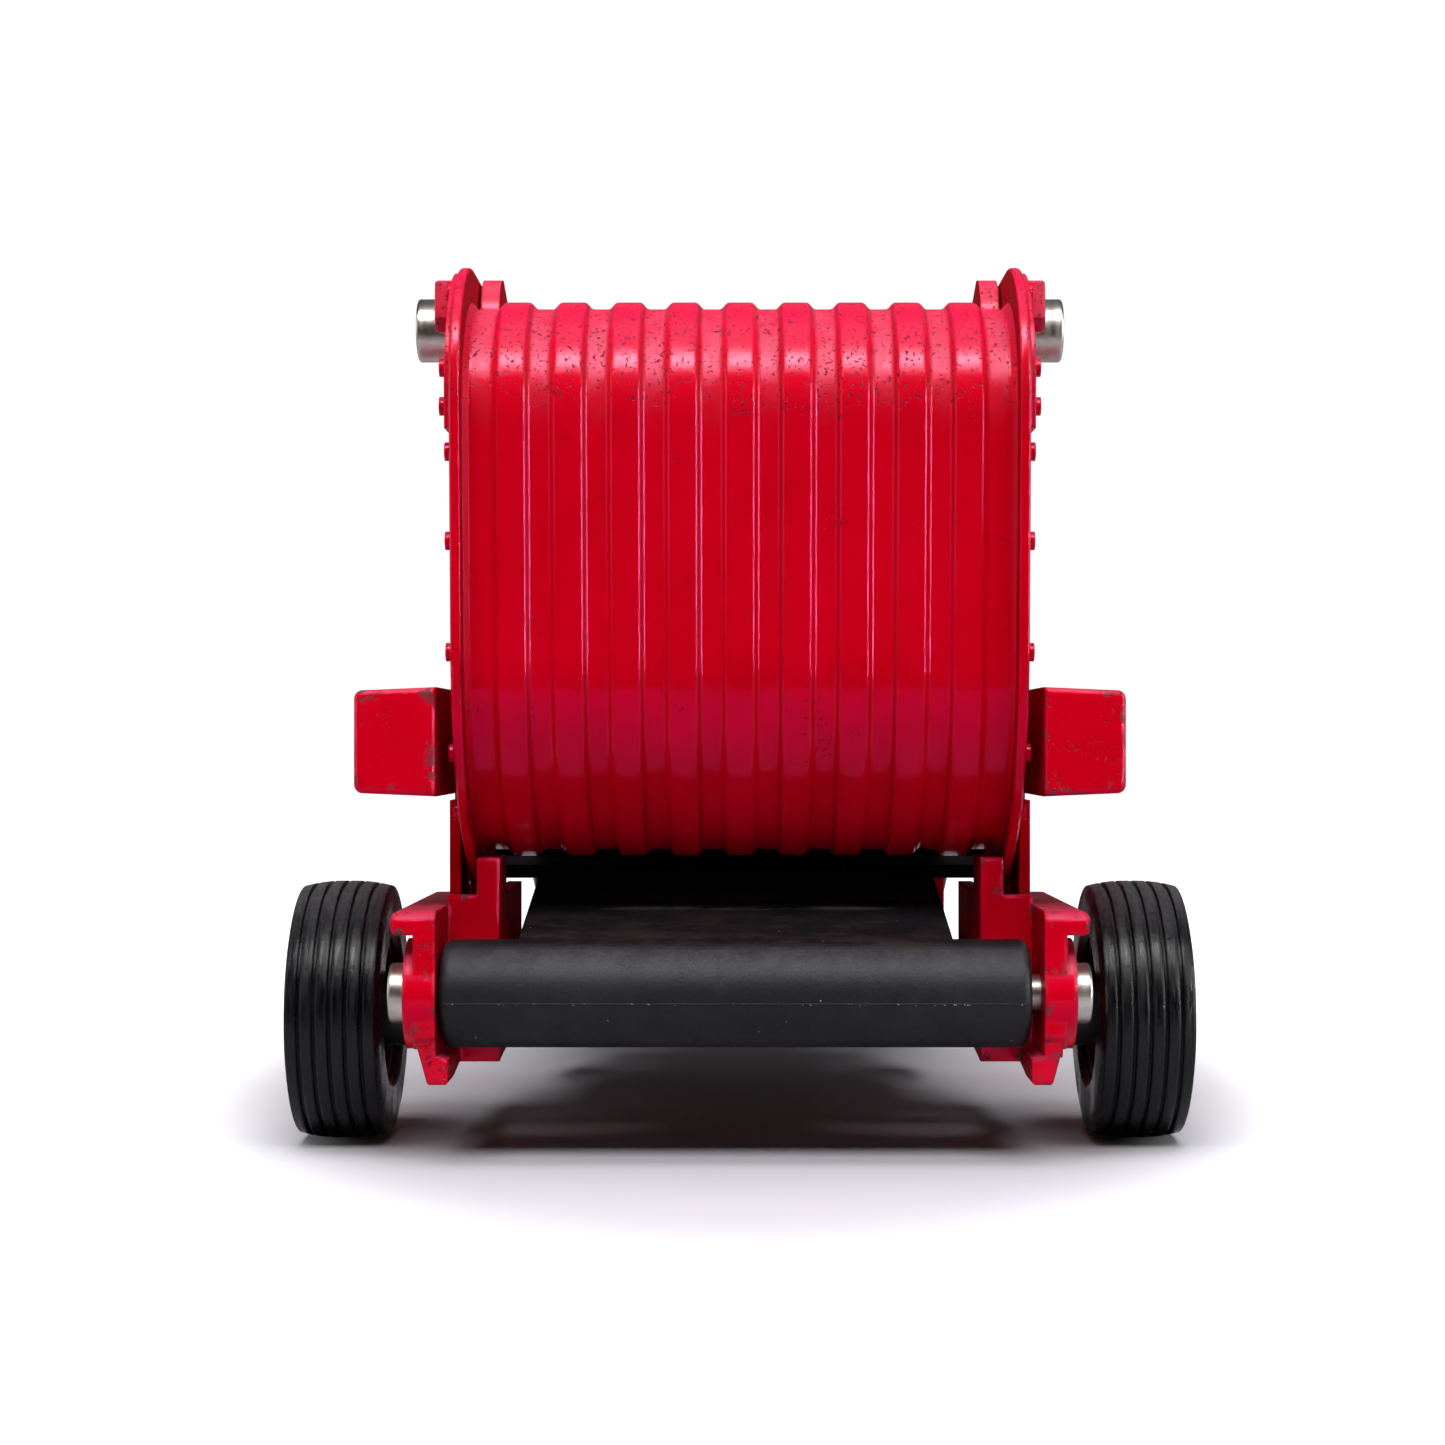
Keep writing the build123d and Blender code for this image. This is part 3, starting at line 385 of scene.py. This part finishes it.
# ---------------------------------------------------------------- stage, light and camera
CARD_HALF = 3.0                # half the width of the white card
CARD_SPLIT = -0.145            # the card behind this Y is neither mirrored nor lights the toy
BACKDROP = 1.05                # strength of the white that the camera sees past the card
DRUM_CROWN = (0.0, -0.055, 0.06)   # what the two lamps above the camera face
CAMERA_BEHIND = 197.8 * MM     # from the rear end of the tailgate back to the camera
CAMERA_HEIGHT = 34 * MM
LENS = 62.2837                 # focal length, on a sensor 36 wide, both in millimetres
SENSOR = 36.0
SHIFT_X = -0.0121              # how far the picture lies off the lens's axis, over its width
SHIFT_Y = 0.0142


def flat_sheet(name, y_from, y_to):
    """Level rectangle at floor height, as wide as the card, from one Y to another."""
    mesh = bpy.data.meshes.new(name)
    side = CARD_HALF
    corners = [(-side, y_from, 0), (side, y_from, 0), (side, y_to, 0), (-side, y_to, 0)]
    mesh.from_pydata(corners, [], [(0, 1, 2, 3)])
    sheet = bpy.data.objects.new(name, mesh)
    bpy.context.scene.collection.objects.link(sheet)
    return sheet


def white_card():
    """Matte card that burns out to white outside an oval around the toy."""
    s = Shader("white_card")
    s.set(Base_Color=rgb(0.50, 0.487, 0.53), Roughness=0.9, Specular_IOR_Level=0.1)
    oval = s.parts(s.stretch((1.5, 0.75, 1.0)))
    away = s.math("SQRT", s.plus(s.times(oval[0], oval[0]), s.times(oval[1], oval[1])))
    seen = s.nodes.new("ShaderNodeLightPath").outputs["Is Camera Ray"]
    s.set(Emission_Color=WHITE, Emission_Strength=s.times(seen, s.ramp(away, 0.06, 0.095)))
    return s.material


def make_floor():
    """White card. The part of it well behind the toy is not mirrored and lights nothing."""
    card = white_card()
    near = flat_sheet("floor", CARD_SPLIT, CARD_HALF)
    far = flat_sheet("floor_far", -CARD_HALF, CARD_SPLIT)
    far.visible_glossy = False
    far.visible_diffuse = False
    for sheet in (near, far):
        sheet.data.materials.append(card)


def make_world():
    """White to the camera. As a light it is dim, and dimmest behind the camera.

    Mirrors also see a bright patch low at each side.
    """
    world = bpy.data.worlds.new("studio")
    bpy.context.scene.world = world
    world.use_nodes = True
    nodes = world.node_tree.nodes
    links = world.node_tree.links
    nodes.clear()

    def step(value, low, high, out_low, out_high):
        node = nodes.new("ShaderNodeMapRange")
        node.interpolation_type = "SMOOTHSTEP"
        links.new(value, node.inputs["Value"])
        node.inputs["From Min"].default_value = low
        node.inputs["From Max"].default_value = high
        node.inputs["To Min"].default_value = out_low
        node.inputs["To Max"].default_value = out_high
        return node.outputs["Result"]

    def combine(operation, first, second):
        node = nodes.new("ShaderNodeMath")
        node.operation = operation
        links.new(first, node.inputs[0])
        links.new(second, node.inputs[1])
        return node.outputs[0]

    def background():
        node = nodes.new("ShaderNodeBackground")
        node.inputs["Color"].default_value = WHITE
        return node

    direction = nodes.new("ShaderNodeTexCoord").outputs["Generated"]
    split = nodes.new("ShaderNodeSeparateXYZ")
    links.new(direction, split.inputs[0])
    sideways = nodes.new("ShaderNodeMath")
    sideways.operation = "ABSOLUTE"
    links.new(split.outputs[0], sideways.inputs[0])
    path = nodes.new("ShaderNodeLightPath")
    ahead = step(split.outputs[1], -0.5, 0.4, 0.015, 0.12)
    aside = step(sideways.outputs[0], 0.75, 0.9, 0.0, 2.0)
    low = step(split.outputs[2], 0.35, 0.6, 1.0, 0.0)
    above = step(split.outputs[2], -0.05, 0.0, 0.0, 1.0)
    mirrored = combine("MULTIPLY", combine("MULTIPLY", aside, low), path.outputs["Is Glossy Ray"])
    light = background()
    links.new(combine("MULTIPLY", combine("ADD", ahead, mirrored), above), light.inputs["Strength"])
    white = background()
    white.inputs["Strength"].default_value = BACKDROP
    mixed = nodes.new("ShaderNodeMixShader")
    links.new(path.outputs["Is Camera Ray"], mixed.inputs[0])
    links.new(light.outputs[0], mixed.inputs[1])
    links.new(white.outputs[0], mixed.inputs[2])
    output = nodes.new("ShaderNodeOutputWorld")
    links.new(mixed.outputs[0], output.inputs["Surface"])


def area_light(name, place, target, size, watts, glossy=True, diffuse=True, color=(1.0, 1.0, 1.0)):
    """Rectangular lamp that faces the target and that the camera doesn't see."""
    data = bpy.data.lights.new(name, "AREA")
    data.shape = "RECTANGLE"
    data.size = size[0]
    data.size_y = size[1]
    data.energy = watts
    data.color = color
    lamp = bpy.data.objects.new(name, data)
    lamp.location = place
    lamp.rotation_euler = (Vector(target) - Vector(place)).to_track_quat("-Z", "Y").to_euler()
    lamp.visible_camera = False
    lamp.visible_glossy = glossy
    lamp.visible_diffuse = diffuse
    bpy.context.scene.collection.objects.link(lamp)


def make_lights():
    """Two lamps above the camera, one over the toy and one out to its right.

    The hot tube and the strip only show as highlights: the tube along the drum's crown, the
    strip down the right shoulders of its ribs. The overhead lamp makes the shadow under the
    toy and is not mirrored.
    """
    area_light("softbox", (0.0, -0.25, 0.31), DRUM_CROWN, (0.42, 0.12), 1.4)
    area_light("hot_tube", (0.0, -0.251, 0.312), DRUM_CROWN, (0.18, 0.055), 0.5, diffuse=False)
    area_light("overhead", (0.0, -0.07, 0.36), (0.0, -0.04, 0.0), (0.36, 0.17), 1.3, glossy=False)
    area_light(
        "strip", (0.3, -0.2, 0.04), (0.0, -0.05, 0.04), (0.012, 0.3), 1.7,
        diffuse=False, color=(0.95, 1.0, 0.9),
    )


def make_camera():
    """Level, straight behind the toy and a little under half its height."""
    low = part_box("tailgate")[0]
    data = bpy.data.cameras.new("camera")
    data.sensor_width = SENSOR
    data.lens = LENS
    data.shift_x = SHIFT_X
    data.shift_y = SHIFT_Y
    data.clip_start = 0.01
    camera = bpy.data.objects.new("camera", data)
    camera.location = (0.0, low.y - CAMERA_BEHIND, CAMERA_HEIGHT)
    camera.rotation_euler = (math.radians(90), 0, 0)
    bpy.context.scene.collection.objects.link(camera)
    bpy.context.scene.camera = camera


make_camera()
make_world()
make_floor()
make_lights()
bpy.context.scene.view_settings.view_transform = "Standard"
dress_nodes()
